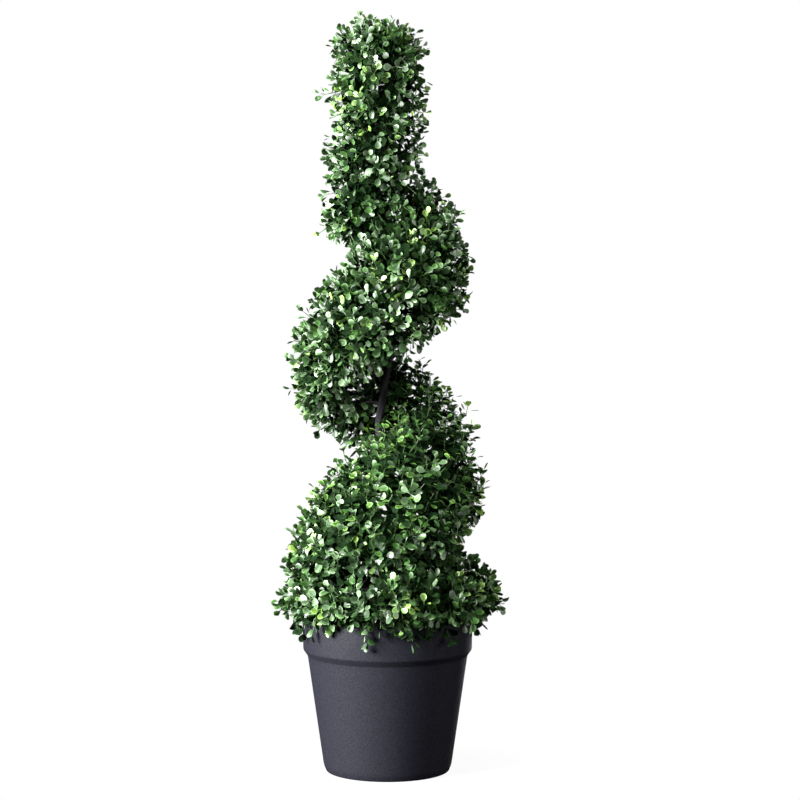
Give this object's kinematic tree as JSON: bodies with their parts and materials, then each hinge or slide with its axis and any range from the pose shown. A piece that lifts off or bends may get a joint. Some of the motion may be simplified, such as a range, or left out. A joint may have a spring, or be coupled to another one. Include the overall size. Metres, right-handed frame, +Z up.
{
  "type": "artificial spiral topiary in a pot",
  "caption": "Artificial spiral topiary: small boxwood-like leaves wind up a thin wandering stem from a collar over a round pot's rim into a column. It stands on the pot's flat base.",
  "frame": {"origin": "centre of the pot's flat underside, on the surface that it stands on", "axes": "+Z up along the plant; seen from the front, which is -Y, the ribbon of foliage falls from right to left, and +X is to the right"},
  "size_m": [0.2655, 0.2648, 0.8945],
  "materials": {
    "pot": "satin",
    "plug": "rough",
    "bark": "matte",
    "foliage": "semi_gloss"
  },
  "bodies": {
    "root": {"pot": "pot", "pot_plug": "plug", "trunk": "bark", "collar_back_right": "foliage", "collar_back_left": "foliage", "collar_front_left": "foliage", "collar_front_right": "foliage", "spiral_1_back_left": "foliage", "spiral_1_front_left": "foliage", "spiral_1_front_right": "foliage", "spiral_2_back_right": "foliage", "spiral_2_back_left": "foliage", "spiral_2_front_left": "foliage", "spiral_2_front_right": "foliage", "spiral_3_back_right": "foliage", "spiral_3_back_left": "foliage", "column_lower": "foliage", "column_top": "foliage"}
  },
  "joints": []
}
